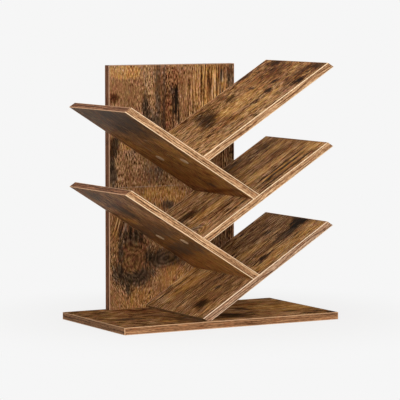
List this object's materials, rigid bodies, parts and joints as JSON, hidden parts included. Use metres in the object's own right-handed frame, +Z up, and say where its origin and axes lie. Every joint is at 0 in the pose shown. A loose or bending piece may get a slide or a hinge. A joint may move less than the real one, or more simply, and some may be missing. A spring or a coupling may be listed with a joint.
{
  "type": "tree shaped bookshelf",
  "caption": "Tree shaped desktop bookshelf: slanted wood-print boards fork left and right in front of a back panel on a flat base.",
  "frame": {"origin": "middle of the underside of the base board", "axes": "+Z up, +X to the right of someone who faces the front, front faces -Y"},
  "size_m": [0.4, 0.223, 0.4259],
  "materials": {
    "wood_print": "matt rustic brown wood print on particle board, with dark knots and streaks",
    "edge_band": "matt wood-print edge band with pale bevelled rims",
    "screw_steel": "zinc plated countersunk wood screws",
    "cover_cap": "stick-on caps with a paler wood print"
  },
  "bodies": {
    "root": {"back_panel": "wood_print", "base_board": "wood_print", "base_front_band": "edge_band", "base_left_band": "edge_band", "base_panel_screw_left": "screw_steel", "base_panel_screw_right": "screw_steel", "base_rear_band": "edge_band", "base_right_band": "edge_band", "foot_screw_front": "screw_steel", "foot_screw_rear": "screw_steel", "left_branch_low": "wood_print", "left_branch_low_end_cap_front": "cover_cap", "left_branch_low_end_cap_rear": "cover_cap", "left_branch_low_end_screw_front": "screw_steel", "left_branch_low_end_screw_rear": "screw_steel", "left_branch_low_front_band": "edge_band", "left_branch_low_panel_screw_inner": "screw_steel", "left_branch_low_panel_screw_outer": "screw_steel", "left_branch_low_rear_band": "edge_band", "left_branch_low_tip_band": "edge_band", "left_branch_top": "wood_print", "left_branch_top_end_cap_front": "cover_cap", "left_branch_top_end_cap_rear": "cover_cap", "left_branch_top_end_screw_front": "screw_steel", "left_branch_top_end_screw_rear": "screw_steel", "left_branch_top_front_band": "edge_band", "left_branch_top_panel_screw_inner": "screw_steel", "left_branch_top_panel_screw_outer": "screw_steel", "left_branch_top_rear_band": "edge_band", "left_branch_top_tip_band": "edge_band", "panel_left_band": "edge_band", "panel_right_band": "edge_band", "panel_top_band": "edge_band", "right_branch_low": "wood_print", "right_branch_low_front_band": "edge_band", "right_branch_low_panel_screw_inner": "screw_steel", "right_branch_low_panel_screw_outer": "screw_steel", "right_branch_low_rear_band": "edge_band", "right_branch_low_tip_band": "edge_band", "right_branch_middle": "wood_print", "right_branch_middle_end_cap_front": "cover_cap", "right_branch_middle_end_cap_rear": "cover_cap", "right_branch_middle_end_screw_front": "screw_steel", "right_branch_middle_end_screw_rear": "screw_steel", "right_branch_middle_front_band": "edge_band", "right_branch_middle_panel_screw_inner": "screw_steel", "right_branch_middle_panel_screw_outer": "screw_steel", "right_branch_middle_rear_band": "edge_band", "right_branch_middle_tip_band": "edge_band", "right_branch_top": "wood_print", "right_branch_top_end_cap_front": "cover_cap", "right_branch_top_end_cap_rear": "cover_cap", "right_branch_top_end_screw_front": "screw_steel", "right_branch_top_end_screw_rear": "screw_steel", "right_branch_top_front_band": "edge_band", "right_branch_top_panel_screw_inner": "screw_steel", "right_branch_top_panel_screw_outer": "screw_steel", "right_branch_top_rear_band": "edge_band", "right_branch_top_tip_band": "edge_band"}
  },
  "joints": []
}
